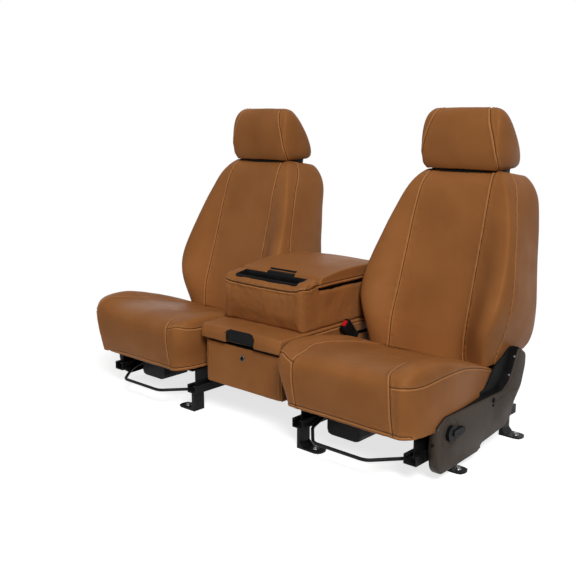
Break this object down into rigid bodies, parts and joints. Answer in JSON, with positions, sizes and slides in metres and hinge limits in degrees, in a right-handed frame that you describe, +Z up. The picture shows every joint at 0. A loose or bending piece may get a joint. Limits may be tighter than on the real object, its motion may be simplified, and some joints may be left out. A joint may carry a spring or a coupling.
{
  "type": "truck bench seat with cover set",
  "caption": "Pickup front bench in fitted leatherette covers: sliding bucket seats with head restraints, and a lockable centre bin under a lift-up cushion and a fold-down armrest box.",
  "frame": {"origin": "on the floor under the middle of the bench", "axes": "+X across the bench towards the driver's seat, which is on the right seen from the front; -Y is the way the seats face; +Z up"},
  "size_m": [1.5206, 0.8375, 1.0704],
  "materials": {
    "black_steel": "satin black enamel",
    "foam": "moulded open foam",
    "leather": "satin caramel leatherette with topstitching",
    "shield_plastic": "grained dark warm grey",
    "black_plastic": "satin black",
    "red_plastic": "smooth red",
    "bright_steel": "plated rod"
  },
  "bodies": {
    "bench_base": {"driver_inboard_lower_rail": "black_steel", "driver_outboard_lower_rail": "black_steel", "passenger_inboard_lower_rail": "black_steel", "passenger_outboard_lower_rail": "black_steel", "centre_carrier": "black_steel", "storage_bin": "black_plastic", "bin_cover": "leather", "hinge_rod": "bright_steel"},
    "driver_seat": {"driver_inboard_upper_rail": "black_steel", "driver_outboard_upper_rail": "black_steel", "driver_cushion_pan": "black_steel", "driver_cushion_foam": "foam", "driver_cushion_cover": "leather", "driver_side_shield": "shield_plastic", "driver_inboard_recliner": "black_steel", "driver_outboard_recliner": "black_steel", "driver_buckle": "black_plastic"},
    "driver_adjuster": {"driver_adjuster_bar": "black_steel"},
    "driver_lever": {"driver_recline_lever": "black_plastic"},
    "driver_button": {"driver_buckle_button": "red_plastic"},
    "driver_back": {"driver_back_frame": "black_steel", "driver_back_foam": "foam", "driver_back_cover": "leather", "driver_inboard_post_sleeve": "black_plastic", "driver_outboard_post_sleeve": "black_plastic"},
    "driver_head_restraint": {"driver_head_posts": "bright_steel", "driver_head_foam": "foam", "driver_head_cover": "leather"},
    "passenger_seat": {"passenger_inboard_upper_rail": "black_steel", "passenger_outboard_upper_rail": "black_steel", "passenger_cushion_pan": "black_steel", "passenger_cushion_foam": "foam", "passenger_cushion_cover": "leather", "passenger_side_shield": "shield_plastic", "passenger_inboard_recliner": "black_steel", "passenger_outboard_recliner": "black_steel", "passenger_buckle": "black_plastic"},
    "passenger_adjuster": {"passenger_adjuster_bar": "black_steel"},
    "passenger_lever": {"passenger_recline_lever": "black_plastic"},
    "passenger_button": {"passenger_buckle_button": "red_plastic"},
    "passenger_back": {"passenger_back_frame": "black_steel", "passenger_back_foam": "foam", "passenger_back_cover": "leather", "passenger_inboard_post_sleeve": "black_plastic", "passenger_outboard_post_sleeve": "black_plastic"},
    "passenger_head_restraint": {"passenger_head_posts": "bright_steel", "passenger_head_foam": "foam", "passenger_head_cover": "leather"},
    "lock": {"bin_lock": "black_plastic"},
    "centre_seat": {"centre_board": "black_plastic", "centre_cushion": "leather"},
    "centre_catch": {"centre_latch": "black_plastic"},
    "armrest": {"armrest_cover": "leather", "armrest_tub": "black_plastic", "armrest_tray": "black_plastic", "lid_hinge_pin": "bright_steel"},
    "armrest_lid": {"armrest_lid_board": "black_plastic", "armrest_lid_cover": "leather"},
    "armrest_catch": {"armrest_lid_latch": "black_plastic"}
  },
  "joints": [
    {"name": "driver_seat_slide", "type": "slide", "parent": "bench_base", "child": "driver_seat", "axis": [0, 1, 0], "range_m": [-0.1, 0.1]},
    {"name": "driver_adjuster_lift", "type": "hinge", "parent": "driver_seat", "child": "driver_adjuster", "pos_m": [0.47, -0.1265, 0.125], "axis": [-1, 0, 0], "range_deg": [0, 12], "stiffness_Nm_per_rad": 6, "springref_deg": -20.05},
    {"name": "driver_lever_lift", "type": "hinge", "parent": "driver_seat", "child": "driver_lever", "pos_m": [0.745, -0.2215, 0.15], "axis": [1, 0, 0], "range_deg": [0, 30], "stiffness_Nm_per_rad": 0.4, "springref_deg": -17.19},
    {"name": "driver_button_press", "type": "slide", "parent": "driver_seat", "child": "driver_button", "axis": [0, 0.6428, -0.766], "range_m": [0, 0.004], "stiffness_N_per_m": 400, "springref_m": -0.002},
    {"name": "driver_back_recline", "type": "hinge", "parent": "driver_seat", "child": "driver_back", "pos_m": [0.47, 0.1935, 0.235], "axis": [-1, 0, 0], "range_deg": [0, 38]},
    {"name": "driver_head_lift", "type": "slide", "parent": "driver_back", "child": "driver_head_restraint", "axis": [0, 0.2419, 0.9703], "range_m": [0, 0.06]},
    {"name": "passenger_seat_slide", "type": "slide", "parent": "bench_base", "child": "passenger_seat", "axis": [0, 1, 0], "range_m": [-0.1, 0.1]},
    {"name": "passenger_adjuster_lift", "type": "hinge", "parent": "passenger_seat", "child": "passenger_adjuster", "pos_m": [-0.47, -0.1265, 0.125], "axis": [-1, 0, 0], "range_deg": [0, 12], "stiffness_Nm_per_rad": 6, "springref_deg": -20.05},
    {"name": "passenger_lever_lift", "type": "hinge", "parent": "passenger_seat", "child": "passenger_lever", "pos_m": [-0.745, -0.2215, 0.15], "axis": [1, 0, 0], "range_deg": [0, 30], "stiffness_Nm_per_rad": 0.4, "springref_deg": -17.19},
    {"name": "passenger_button_press", "type": "slide", "parent": "passenger_seat", "child": "passenger_button", "axis": [0, 0.6428, -0.766], "range_m": [0, 0.004], "stiffness_N_per_m": 400, "springref_m": -0.002},
    {"name": "passenger_back_recline", "type": "hinge", "parent": "passenger_seat", "child": "passenger_back", "pos_m": [-0.47, 0.1935, 0.235], "axis": [-1, 0, 0], "range_deg": [0, 38]},
    {"name": "passenger_head_lift", "type": "slide", "parent": "passenger_back", "child": "passenger_head_restraint", "axis": [0, 0.2419, 0.9703], "range_m": [0, 0.06]},
    {"name": "lock_turn", "type": "hinge", "parent": "bench_base", "child": "lock", "pos_m": [0, -0.3285, 0.25], "axis": [0, 1, 0], "range_deg": [0, 90]},
    {"name": "centre_seat_lift", "type": "hinge", "parent": "bench_base", "child": "centre_seat", "pos_m": [0, 0.1985, 0.335], "axis": [-1, 0, 0], "range_deg": [0, 50]},
    {"name": "centre_catch_pull", "type": "hinge", "parent": "centre_seat", "child": "centre_catch", "pos_m": [0, -0.3375, 0.344], "axis": [-1, 0, 0], "range_deg": [0, 25], "stiffness_Nm_per_rad": 0.3, "springref_deg": -11.46},
    {"name": "armrest_fold", "type": "hinge", "parent": "centre_seat", "child": "armrest", "pos_m": [0, 0.1985, 0.335], "axis": [-1, 0, 0], "range_deg": [0, 92]},
    {"name": "armrest_lid_open", "type": "hinge", "parent": "armrest", "child": "armrest_lid", "pos_m": [0, 0.1862, 0.4823], "axis": [-1, 0, 0], "range_deg": [0, 70]},
    {"name": "armrest_catch_lift", "type": "hinge", "parent": "armrest_lid", "child": "armrest_catch", "pos_m": [0, -0.1265, 0.514], "axis": [-1, 0, 0], "range_deg": [0, 25], "stiffness_Nm_per_rad": 0.3, "springref_deg": -11.46}
  ]
}
